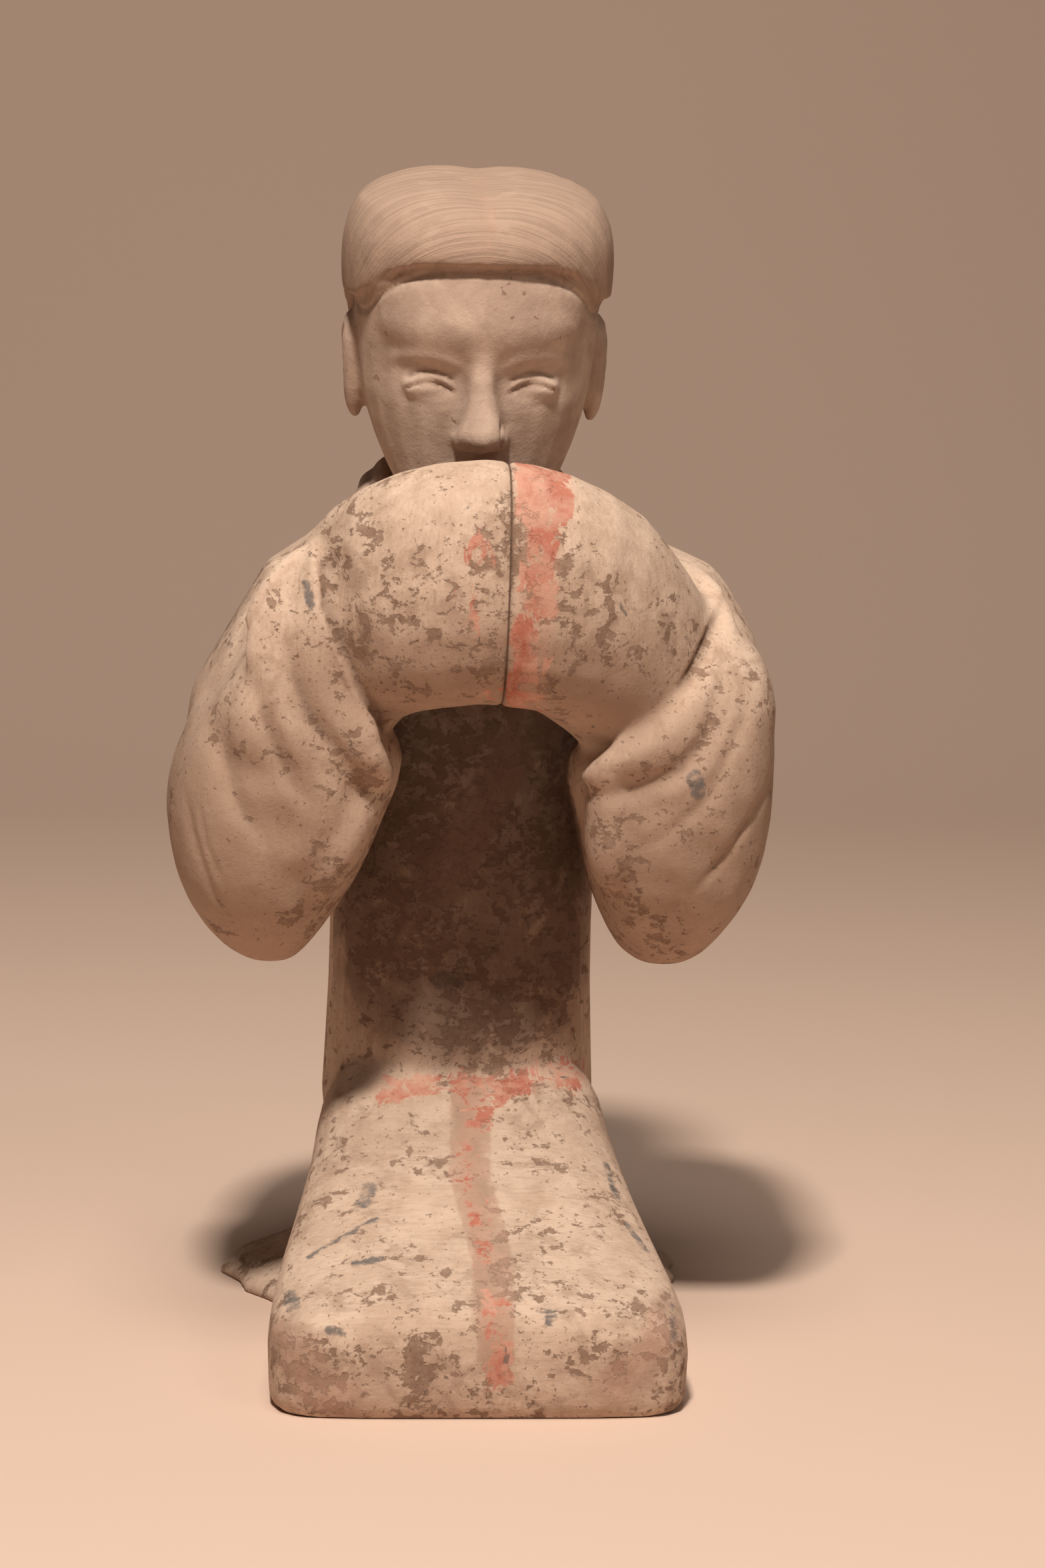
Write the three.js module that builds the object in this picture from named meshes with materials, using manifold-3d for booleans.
// A painted pottery figurine of a kneeling musician, modelled in millimetres.
// The figure kneels upright with both forearms raised, so that the wide sleeves meet in front of
// the mouth and hang below the elbows. +Z is up, the figure faces -Y, and its left side is +X.
// The origin is on the ground, under the middle of the figure.
import * as THREE from "three";
import { mergeVertices } from "three/addons/utils/BufferGeometryUtils.js";
import Module from "manifold-3d";

const wasm = await Module();
wasm.setup();

// Driving dimensions, in millimetres
const FIGURE_HEIGHT = 348;
const FIGURE_DEPTH = 206;
const KNEE_SPAN = 119;
const KNEE_HEIGHT = 33;
const WAIST_WIDTH = 81;
const WAIST_DEPTH = 70;
const WAIST_HEIGHT = 76;
const HEM_SPREAD = 148;
const HEM_THICKNESS = 9;
const SHOULDER_HEIGHT = 246;
const SLEEVE_SPAN = 181;
const SLEEVE_ROLL = 12;
const CUFF_HEIGHT = 70;
const CUFF_DEPTH = 44;
const CUFF_TOP = 264;
const CUFF_REACH = 108;
const HEAD_WIDTH = 73;
const HEAD_LENGTH = 104;
const HEAD_DEPTH = 80;
const HEAD_BOW_DEG = 13;
const HAIR_WIDTH = 81;
const EAR_HEIGHT = 33;
const COLLAR_THICKNESS = 9;

// Places along the depth of the figure: the knees are in front, the train of the robe behind
const KNEES_Y = -FIGURE_DEPTH / 2;
const TRAIN_Y = FIGURE_DEPTH / 2;
const BODY_Y = KNEES_Y + FIGURE_DEPTH * 0.69;

/** Reads a smooth curve through rows of numbers at share 0 to 1 of the way along them. */
function along(rows, share) {
  const place = THREE.MathUtils.clamp(share, 0, 1) * (rows.length - 1);
  const first = Math.min(Math.floor(place), rows.length - 2);
  const t = place - first;
  const row = (i) => rows[THREE.MathUtils.clamp(i, 0, rows.length - 1)];
  return rows[first].map((_, channel) => {
    const [p0, p1, p2, p3] = [-1, 0, 1, 2].map((k) => row(first + k)[channel]);
    const m1 = (p2 - p0) / 2;
    const m2 = (p3 - p1) / 2;
    const t2 = t * t;
    const t3 = t2 * t;
    return (2 * t3 - 3 * t2 + 1) * p1 + (t3 - 2 * t2 + t) * m1 + (3 * t2 - 2 * t3) * p2 + (t3 - t2) * m2;
  });
}

/** Turns a closed geometry into a solid that can be joined to others. */
function solid(geometry) {
  const bare = geometry.clone();
  bare.deleteAttribute("normal");
  bare.deleteAttribute("uv");
  const merged = mergeVertices(bare, 1e-4);
  return new wasm.Manifold(
    new wasm.Mesh({
      numProp: 3,
      vertProperties: merged.attributes.position.array,
      triVerts: new Uint32Array(merged.index.array),
    }),
  );
}

/**
 * A closed skin over rings. place(share, cosine, sine) gives the point of the ring at that share of
 * the way from the first ring to the last, and the rings at both ends shrink to a point.
 */
function skin(sides, rings, place) {
  const ball = new THREE.SphereGeometry(1, sides, rings);
  const points = ball.attributes.position;
  for (let i = 0; i < points.count; i++) {
    const ring = Math.floor(i / (sides + 1));
    const step = ring === 0 || ring === rings ? 0 : i % (sides + 1) % sides;
    const angle = (step / sides) * Math.PI * 2;
    points.setXYZ(i, ...place(ring / rings, Math.cos(angle), Math.sin(angle)));
  }
  return solid(ball);
}

// How square the sections are, from 2 for an ellipse upwards
const squareness = { head: 2.2, robe: 2.3, sleeve: 2.7, arch: 2.3, lap: 3.2, lapFoot: 6, hair: 2.3, fold: 2 };

/** A power that keeps its sign, which squares up a round section as the exponent grows. */
function squared(value, exponent) {
  return Math.sign(value) * Math.abs(value) ** (2 / exponent);
}

/**
 * A form made of level sections. Each row is height, left edge, right edge, front edge and back edge,
 * and bend(point) may move a point, as folds do.
 */
function levels(rows, sides, rings, exponent = squareness.head, bend = (point) => point) {
  return skin(sides, rings, (share, cosine, sine) => {
    const [z, left, right, front, back] = along(rows, 1 - share);
    return bend([
      (left + right + Math.max(right - left, 0) * squared(cosine, exponent)) / 2,
      (front + back + Math.max(back - front, 0) * squared(sine, exponent)) / 2,
      z,
    ]);
  });
}

/** Scales rows of shares to sizes: height from a base, width either side of x = 0, depth about y. */
function scaled(rows, base, height, halfWidth, y, depth) {
  return rows.map(([rise, half, front, back]) => [
    base + rise * height,
    -half * halfWidth,
    half * halfWidth,
    y + front * depth,
    y + back * depth,
  ]);
}

/** Left and right edge of a form on one side of the figure, from its inner and outer edge. */
function sideEdges(side, inner, outer, scale) {
  return [side * inner * scale, side * outer * scale].sort((a, b) => a - b);
}

/**
 * A tube along a spine. Each row is x, y, z, half height and half thickness. The height of a section
 * stands square to the spine, as near as it can to the given direction.
 */
function sweep(rows, sides, rings, upward = new THREE.Vector3(0, 0, 1), exponent = squareness.fold) {
  const spine = (share) => new THREE.Vector3(...along(rows, share).slice(0, 3));
  const step = 1e-3;
  return skin(sides, rings, (share, cosine, sine) => {
    const [x, y, z, halfHeight, halfThickness] = along(rows, share);
    const ahead = spine(Math.min(share + step, 1));
    const tangent = ahead.sub(spine(Math.max(share - step, 0))).normalize();
    const side = new THREE.Vector3().crossVectors(tangent, upward).normalize();
    const rise = new THREE.Vector3().crossVectors(side, tangent).normalize();
    return new THREE.Vector3(x, y, z)
      .addScaledVector(rise, Math.max(halfHeight, 0) * squared(cosine, exponent))
      .addScaledVector(side, -Math.max(halfThickness, 0) * squared(sine, exponent))
      .toArray();
  });
}

// The robe from the hem up to the shoulders, with the train spread on the ground behind
const WAIST = WAIST_WIDTH / 2;
const HEM = HEM_SPREAD / 2;
const TRAIN = TRAIN_Y - BODY_Y;
const BELLY = WAIST_DEPTH / 2;
const PLEATS = 11;
const PLEAT_DEPTH = 2.4;

const hemRows = [
  [-1, 0, 0, 0],
  [-1, 0.5, -0.3, 0.5],
  [-0.6, 0.94, -0.78, 0.94],
  [0, 1, -0.82, 0.99],
  [0.35, 0.99, -0.82, 1],
  [0.62, 0.93, -0.8, 0.98],
  [0.95, 0.82, -0.78, 0.95],
  [1.4, 0.72, -0.76, 0.91],
  [2.3, 0.625, -0.72, 0.86],
  [3.6, 0.575, -0.68, 0.8],
  [5.2, 0.56, -0.62, 0.73],
];
const bodyRows = [
  [0.26, 1.04, -1.04, 1.18],
  [0.33, 1.02, -1.01, 1.1],
  [0.42, 1, -1, 1.02],
  [0.5, 1, -0.99, 0.98],
  [0.6, 1.02, -0.97, 0.98],
  [0.72, 1.08, -0.93, 1.02],
  [0.83, 1.12, -0.84, 1.02],
  [0.91, 1.06, -0.72, 0.94],
  [0.965, 0.9, -0.62, 0.84],
  [1, 0.76, -0.55, 0.76],
  [1.018, 0.6, -0.45, 0.64],
  [1.02, 0, 0, 0],
];

/** Draws the hem out towards the back corners and gathers it into pleats there. */
function spreadTrain([x, y, z]) {
  const low = THREE.MathUtils.clamp(1 - z / (WAIST_HEIGHT * 0.75), 0, 1);
  const behind = THREE.MathUtils.smoothstep(y, BODY_Y - TRAIN * 0.6, BODY_Y + TRAIN * 0.5);
  const fan = 1 - 0.22 * low * (1 - behind);
  const angle = Math.atan2(y - BODY_Y, x);
  const pleat = PLEAT_DEPTH * low ** 0.7 * behind * Math.sin(PLEATS * 2 * angle);
  const radius = Math.hypot(x, y - BODY_Y) || 1;
  return [x * fan + (pleat * x) / radius, y + (pleat * (y - BODY_Y)) / radius, z];
}

const robeRows = [
  ...scaled(hemRows, 0, HEM_THICKNESS, HEM, BODY_Y, TRAIN),
  ...scaled(bodyRows, 0, SHOULDER_HEIGHT, WAIST, BODY_Y, BELLY),
];
const robe = levels(robeRows, 40, 24, squareness.robe, spreadTrain);

// The lap, a broad ramp from the belly down to the knees. Rows: run from the knees, half width, lower
// edge as a share of the knees' height, and climb of the top from the knees to the waist
const KNEE = KNEE_SPAN / 2;
const LAP_RUN = BODY_Y - KNEES_Y;
const LAP_CLIMB = WAIST_HEIGHT - KNEE_HEIGHT;

const lapRows = [
  [0, 0, 0.45, -0.42],
  [0.003, 0.5, 0.2, -0.23],
  [0.018, 0.84, 0, -0.09],
  [0.055, 0.955, -0.1, -0.01],
  [0.13, 1, -0.15, 0.08],
  [0.24, 0.985, -0.15, 0.19],
  [0.36, 0.95, -0.15, 0.32],
  [0.48, 0.9, -0.15, 0.48],
  [0.6, 0.845, -0.15, 0.68],
  [0.72, 0.785, -0.15, 0.96],
  [0.86, 0.735, -0.15, 1.23],
  [0.95, 0.6, 0.2, 1],
  [0.95, 0, 1, 0],
];

const lap = skin(28, 16, (share, cosine, sine) => {
  const [run, halfWidth, lower, climb] = along(lapRows, share);
  const low = lower * KNEE_HEIGHT;
  const high = KNEE_HEIGHT + climb * LAP_CLIMB;
  const exponent = sine < 0 ? squareness.lapFoot : squareness.lap;
  return [
    halfWidth * KNEE * squared(cosine, exponent),
    KNEES_Y + run * LAP_RUN,
    (high + low + (high - low) * squared(sine, exponent)) / 2,
  ];
});

// The upper arms and, in front of them, the bags of the sleeves that hang below the elbows.
// Rows: height, inner, outer, front and back edge. In these rows the shoulders stand 71.3 high, the
// widest point of the sleeves is 26.2 out, and the figure is 59.7 deep.
const SLEEVE_X = SLEEVE_SPAN / 2 / 26.2;
const SLEEVE_Y = FIGURE_DEPTH / 59.7;
const SLEEVE_Z = SHOULDER_HEIGHT / 71.3;
const VALLEY_DEPTH = 3.2;
const VALLEY_WIDTH = 7;

/**
 * Carves soft valleys into the front of a sleeve. Each valley runs up and outward at the slope, from
 * the height where it would cross the middle of the figure.
 */
function carved(slope, valleys) {
  return ([x, y, z]) => {
    const cross = z - slope * Math.abs(x);
    const front = THREE.MathUtils.smoothstep(-y, -SLEEVE_Y * 3, SLEEVE_Y * 6);
    const depths = valleys.map((at) => Math.exp(-(((cross - at * SLEEVE_Z) / VALLEY_WIDTH) ** 2)));
    return [x, y + VALLEY_DEPTH * front * Math.max(...depths), z];
  };
}

function sleeve(side, rows, bend) {
  const placed = rows.map(([rise, inner, outer, front, back]) => [
    rise * SLEEVE_Z,
    ...sideEdges(side, inner, outer, SLEEVE_X),
    front * SLEEVE_Y,
    back * SLEEVE_Y,
  ]);
  return levels(placed.reverse(), 20, rows.length + 2, squareness.sleeve, bend);
}

const rightArm = [
  [71.3, 10.4, 10.4, 6, 6],
  [70.4, 8, 11.3, 1.5, 11.6],
  [69.2, 7.2, 13, -1.5, 15],
  [66.5, 7.2, 17.4, -6.4, 18],
  [63.8, 7.2, 19.1, -9.9, 19.1],
  [61.7, 7.2, 20.3, -11, 19.7],
  [58.8, 8.7, 22, -11.6, 19.7],
  [56.2, 9.4, 23.5, -11.6, 19.1],
  [52.2, 9.7, 24.6, -11, 15.8],
  [47.8, 10, 24.3, -8.7, 11.6],
  [43.5, 11, 23.2, -5.8, 8.6],
  [40.6, 16.8, 16.8, 0, 0],
];
const leftArm = [
  [71.3, 10.4, 10.4, 6, 6],
  [70.4, 8, 11.9, 1.5, 11.6],
  [69.2, 7.2, 15.1, -1.5, 15],
  [67.5, 7.2, 19.1, -2.9, 17.4],
  [66.4, 8.7, 21.4, -3.2, 18.3],
  [64.3, 8.7, 23, -4.6, 19.1],
  [61.7, 8.7, 24.3, -7, 19.7],
  [58.8, 9.4, 25.2, -9, 19.7],
  [55.1, 9.7, 25.3, -11, 17.6],
  [50.7, 10, 25, -11, 14],
  [46.4, 11, 23.8, -8, 10],
  [42, 16.8, 16.8, 0, 0],
];
const rightBag = [
  [69.6, 13.6, 13.6, -11.6, -11.6],
  [69, 12.2, 14.5, -13.3, -8.7],
  [67.2, 11, 15.4, -14.5, -5.8],
  [65.2, 11, 16.2, -15.1, -2.9],
  [63.2, 10.7, 17.4, -15.4, 0],
  [58.8, 9.9, 20.6, -15.7, 2.9],
  [55.9, 8.7, 22.9, -15.7, 5.8],
  [53.6, 7.5, 24.3, -15.7, 7.2],
  [51.6, 6.2, 25.2, -15.4, 8.1],
  [49.3, 6.2, 25.9, -15.1, 8.7],
  [46.4, 7.2, 26.2, -14.8, 9.8],
  [42.9, 8.6, 25.8, -13.9, 9.4],
  [40, 10, 25.1, -12.8, 8.4],
  [37.1, 11.8, 23.6, -11, 6.4],
  [34.8, 13.6, 21.7, -8.7, 4.1],
  [33.3, 14.8, 19.7, -6.4, 1.4],
  [32.6, 17.1, 17.1, -2.9, -2.9],
];
const leftBag = [
  [62.6, 20.9, 20.9, -5.8, -5.8],
  [61.4, 18, 23.2, -8.7, -1.5],
  [59.1, 16.2, 24.6, -11, 1.4],
  [56.2, 13.3, 25.5, -12.8, 3.5],
  [53.3, 10.4, 25.5, -13.9, 7],
  [50.4, 7.8, 25.7, -14.5, 8.4],
  [47.5, 8.4, 25.7, -14.5, 9.5],
  [43.5, 9.2, 25.2, -13.9, 9.4],
  [40, 10, 24.2, -12.8, 8.4],
  [37.1, 11.2, 22.6, -11, 6.4],
  [34.8, 12.4, 20.8, -8.7, 4.1],
  [33.3, 13.8, 19.2, -6.4, 1.4],
  [32.6, 16.5, 16.5, -2.9, -2.9],
];

// The two forearms and their cuffs, one thick arch that meets in front of the mouth. The right arm
// is tucked further into its sleeve. Rows: outward, fall, back, half height and half depth
const CUFF_Y = BODY_Y - CUFF_REACH + CUFF_DEPTH / 2;
const ELBOW_RUN = CUFF_REACH * 0.5;

const leftForearm = [
  [0.16, 0.03, 0.03, 0.985, 1],
  [0.3, 0.1, 0.13, 0.94, 1],
  [0.43, 0.24, 0.31, 0.88, 1],
  [0.54, 0.41, 0.55, 0.83, 1],
  [0.62, 0.6, 0.82, 0.75, 0.95],
  [0.66, 0.76, 1, 0.55, 0.7],
  [0.68, 0.85, 1.1, 0, 0],
];
const rightForearm = [
  [0.16, 0.03, 0.03, 0.985, 1],
  [0.29, 0.1, 0.15, 0.94, 0.97],
  [0.385, 0.22, 0.37, 0.87, 0.92],
  [0.44, 0.38, 0.62, 0.8, 0.86],
  [0.48, 0.56, 0.86, 0.7, 0.78],
  [0.51, 0.7, 1.02, 0.5, 0.6],
  [0.52, 0.8, 1.1, 0, 0],
];

function forearm(side, rows) {
  return rows.map(([out, fall, back, halfHeight, halfDepth]) => [
    (side * out * SLEEVE_SPAN) / 2,
    CUFF_Y + back * ELBOW_RUN,
    CUFF_TOP - CUFF_HEIGHT * (0.5 + fall),
    (halfHeight * CUFF_HEIGHT) / 2,
    (halfDepth * CUFF_DEPTH) / 2,
  ]);
}

const middle = [0, 0, 0, 1, 1];
const archRows = [...forearm(-1, rightForearm).reverse(), ...forearm(1, [middle, ...leftForearm])];
const arch = sweep(archRows, 20, 26, undefined, squareness.arch);

// The rolled mouth of each sleeve, a band that lies on the bag. Rows: outward, depth, height and
// thickness of its edge, and how far the band reaches outward, as a share of its thickness
function fold(side, rows, thickness) {
  const placed = rows.map(([out, y, rise, share, reach]) => [
    side * (out * SLEEVE_X + (reach - 1) * share * thickness * 0.5),
    y * SLEEVE_Y,
    rise * SLEEVE_Z,
    (thickness * share * reach) / 2,
    (thickness * share) / 2,
  ]);
  return sweep(placed, 10, 18, new THREE.Vector3(side, 0, 0.3));
}

const rightMouth = [
  [14.2, -11, 68.6, 0, 1],
  [14.6, -11.4, 67.8, 0.6, 1.2],
  [15, -12.4, 65.3, 0.75, 1.8],
  [14.7, -13.3, 61.8, 0.8, 2.4],
  [13.3, -13.9, 58, 0.85, 2.6],
  [11.7, -13.7, 55.1, 0.95, 2.6],
  [9.6, -13.2, 52.5, 1.1, 2.4],
  [7.9, -11.9, 50.5, 1.05, 1.9],
  [7, -10, 49.4, 0, 1],
];
const leftMouth = [
  [18, 1.6, 67, 0, 1],
  [18.9, 0.2, 66.4, 0.45, 1],
  [20.1, -4, 64, 0.65, 1.3],
  [19.3, -7.8, 60.6, 0.8, 1.6],
  [17, -11.2, 57.1, 0.88, 1.8],
  [14.5, -12.7, 54.2, 0.9, 1.8],
  [11.9, -13.2, 52, 0.88, 1.6],
  [9.4, -12.8, 50.6, 0.75, 1.4],
  [8, -11.6, 50.1, 0, 1],
];

// The forms of the head are made upright about the middle of the skull, and bowed together.
// Rows: height, half width, front and back edge, as shares of the head's own sizes
const HEAD_Y = BODY_Y - WAIST_DEPTH * 0.3;

/** Scales rows of shares to the size of the head. */
function headRows(rows, width) {
  return scaled(rows, 0, HEAD_LENGTH, width / 2, 0, HEAD_DEPTH);
}

const skullRows = [
  [-0.52, 0, -0.28, -0.28],
  [-0.51, 0.24, -0.37, -0.14],
  [-0.475, 0.42, -0.43, -0.02],
  [-0.415, 0.58, -0.45, 0.1],
  [-0.33, 0.73, -0.45, 0.24],
  [-0.23, 0.85, -0.46, 0.36],
  [-0.115, 0.94, -0.475, 0.44],
  [0, 0.98, -0.465, 0.48],
  [0.115, 1, -0.48, 0.5],
  [0.23, 0.99, -0.475, 0.5],
  [0.33, 0.9, -0.45, 0.46],
  [0.4, 0.7, -0.34, 0.36],
  [0.42, 0, 0, 0],
];
const noseRows = [
  [-0.235, 0, -0.46, -0.46],
  [-0.215, 0.17, -0.55, -0.42],
  [-0.18, 0.21, -0.595, -0.42],
  [-0.14, 0.17, -0.585, -0.42],
  [-0.07, 0.12, -0.54, -0.42],
  [0.01, 0.1, -0.51, -0.42],
  [0.07, 0.1, -0.5, -0.42],
  [0.1, 0, -0.46, -0.46],
];
const lipRows = [
  [-0.36, 0, -0.44, -0.44],
  [-0.345, 0.25, -0.475, -0.4],
  [-0.32, 0.32, -0.49, -0.4],
  [-0.3, 0.3, -0.49, -0.4],
  [-0.28, 0, -0.44, -0.44],
];
const skull = levels(headRows(skullRows, HEAD_WIDTH), 24, 18);
const nose = levels(headRows(noseRows, HEAD_WIDTH), 10, 10);
const lips = levels(headRows(lipRows, HEAD_WIDTH), 10, 6);

// The ear stands between the brow and the base of the nose. Rows: height, inner, outer, front, back
const earRows = [
  [-0.5, 0.96, 0.96, 0.03, 0.03],
  [-0.44, 0.92, 1.03, -0.01, 0.07],
  [-0.25, 0.9, 1.07, -0.04, 0.1],
  [0.05, 0.9, 1.1, -0.05, 0.15],
  [0.33, 0.9, 1.1, -0.04, 0.17],
  [0.47, 0.93, 1.04, 0.01, 0.14],
  [0.5, 0.98, 0.98, 0.08, 0.08],
];
const EAR_DROP = HEAD_LENGTH * 0.085;

function ear(side) {
  const rows = earRows.map(([rise, inner, outer, front, back]) => [
    rise * EAR_HEIGHT - EAR_DROP,
    ...sideEdges(side, inner, outer, HEAD_WIDTH / 2),
    front * HEAD_DEPTH,
    back * HEAD_DEPTH,
  ]);
  return levels(rows, 10, 8);
}

// Hair parted in the middle, thick over the brow, drawn back over the ears to a low knot
const PARTING_DEPTH = 1.4;
const PARTING_WIDTH = 6;
const hairRows = [
  [-0.42, 0.55, -0.3, 0.38],
  [-0.28, 0.76, -0.4, 0.47],
  [-0.14, 0.9, -0.46, 0.53],
  [0, 0.96, -0.48, 0.56],
  [0.14, 0.99, -0.49, 0.57],
  [0.26, 1, -0.497, 0.57],
  [0.34, 0.965, -0.49, 0.545],
  [0.41, 0.87, -0.43, 0.485],
  [0.445, 0.7, -0.35, 0.4],
  [0.465, 0.42, -0.19, 0.26],
  [0.47, 0, 0.03, 0.03],
];
const HAIR_TOP = hairRows.at(-1)[0];

/** Height of the hairline: high over the brow, lower at the temples, lowest at the nape. */
function hairline(sine) {
  const front = THREE.MathUtils.smoothstep(-sine, 0.3, 1);
  const behind = THREE.MathUtils.smoothstep(sine, 0, 0.8);
  return 0.12 + 0.165 * front - 0.46 * behind;
}

/** Outline of the hair at a height, by its place among the rows. */
function hairAt(height) {
  const above = hairRows.findIndex(([rise]) => rise >= height - 1e-9);
  const i = THREE.MathUtils.clamp(above, 1, hairRows.length - 1);
  const share = (height - hairRows[i - 1][0]) / (hairRows[i][0] - hairRows[i - 1][0]);
  return along(hairRows, (i - 1 + share) / (hairRows.length - 1));
}

const hair = skin(28, 15, (share, cosine, sine) => {
  const fall = Math.min(share / 0.84, 1) ** 1.9;
  const edge = hairline(sine) * (1 - THREE.MathUtils.smoothstep(share, 0.9, 1));
  const height = HAIR_TOP + (edge - HAIR_TOP) * fall;
  const [, half, front, back] = hairAt(height);
  const inset = 1 - THREE.MathUtils.smoothstep(share, 0.8, 1);
  const x = (half * inset * HAIR_WIDTH * squared(cosine, squareness.hair)) / 2;
  const y = (front + back) * Math.sign(inset) + (back - front) * inset * squared(sine, squareness.hair);
  const onTop = THREE.MathUtils.smoothstep(height, 0.38, 0.46);
  const parting = PARTING_DEPTH * Math.exp(-((x / PARTING_WIDTH) ** 2)) * onTop;
  return [x, (y * HEAD_DEPTH) / 2, height * HEAD_LENGTH - parting];
});

const knotRows = [
  [-0.34, 0, 0.46, 0.46],
  [-0.32, 0.22, 0.4, 0.55],
  [-0.25, 0.34, 0.36, 0.63],
  [-0.14, 0.36, 0.36, 0.66],
  [-0.03, 0.28, 0.38, 0.62],
  [0.04, 0, 0.5, 0.5],
];
const knot = levels(headRows(knotRows, HAIR_WIDTH), 14, 8);

const uprightHead = wasm.Manifold.union([skull, nose, lips, ear(-1), ear(1), hair, knot]);
const bowedHead = uprightHead.rotate([HEAD_BOW_DEG, 0, 0]);
const HEAD_Z = FIGURE_HEIGHT - bowedHead.boundingBox().max[2];
const head = bowedHead.translate([0, HEAD_Y, HEAD_Z]);

// The neck leans forward with the head, from inside the shoulders up into the skull.
// Rows: share of the rise to the middle of the skull, half width, front and back edge
const NECK_FOOT = SHOULDER_HEIGHT * 0.93;
const neckRows = [
  [0, 0, -0.6, -0.6],
  [0.04, 0.46, -0.8, 0.3],
  [0.34, 0.43, -0.86, 0.14],
  [0.7, 0.46, -1, 0.06],
  [0.74, 0, -0.7, -0.7],
];
const neck = levels(scaled(neckRows, NECK_FOOT, HEAD_Z - NECK_FOOT, WAIST, BODY_Y, BELLY), 18, 8);

// Two layers of collar that meet on the chest. Rows: outward, back, rise and thickness
const collarHalf = [
  [0, 0.72, 1.02, 1],
  [0.42, 0.62, 1.016, 1],
  [0.72, 0.28, 1.004, 1],
  [0.76, -0.16, 0.97, 1],
  [0.6, -0.58, 0.93, 1],
  [0.34, -0.77, 0.885, 0.9],
  [0.02, -0.84, 0.83, 0],
];

function collar(size, lift) {
  const half = (side) =>
    collarHalf.map(([out, back, rise, share]) => [
      side * out * WAIST * size,
      BODY_Y + back * BELLY * size,
      SHOULDER_HEIGHT * rise + lift,
      share * COLLAR_THICKNESS,
      (share * COLLAR_THICKNESS) / 2,
    ]);
  return sweep([...half(-1).reverse(), ...half(1).slice(1)], 8, 24);
}

// Everything is cut off level with the ground, so that the underside is flat
const GROUND_SIZE = FIGURE_HEIGHT * 2;
const block = new THREE.BoxGeometry(GROUND_SIZE, GROUND_SIZE, GROUND_SIZE);
const ground = solid(block.translate(0, 0, -GROUND_SIZE / 2));

const figure = wasm.Manifold.union([
  robe,
  lap,
  sleeve(-1, rightArm),
  sleeve(1, leftArm),
  sleeve(-1, rightBag, carved(1.55, [33, 19])),
  sleeve(1, leftBag, carved(1.2, [34, 18])),
  arch,
  fold(-1, rightMouth, SLEEVE_ROLL),
  fold(1, leftMouth, SLEEVE_ROLL),
  neck,
  collar(1, 0),
  collar(0.84, COLLAR_THICKNESS / 2),
  head,
]).subtract(ground);
const { min, max } = figure.boundingBox();
const centred = figure.translate([-(min[0] + max[0]) / 2, -(min[1] + max[1]) / 2, 0]);

/** Turns a solid back into a geometry for a mesh. */
function geometryOf(form) {
  const { numProp, vertProperties, triVerts } = form.getMesh();
  const positions = new Float32Array((vertProperties.length / numProp) * 3);
  for (let i = 0; i * numProp < vertProperties.length; i++) {
    positions.set(vertProperties.subarray(i * numProp, i * numProp + 3), i * 3);
  }
  return new THREE.BufferGeometry()
    .setAttribute("position", new THREE.BufferAttribute(positions, 3))
    .setIndex(new THREE.BufferAttribute(triVerts, 1));
}

const paintedClay = new THREE.MeshStandardMaterial({ color: 0xb59a80, roughness: 0.92, metalness: 0 });
const figurine = new THREE.Mesh(geometryOf(centred), paintedClay);
figurine.name = "figurine";

const group = new THREE.Group();
group.add(figurine);
export default group;
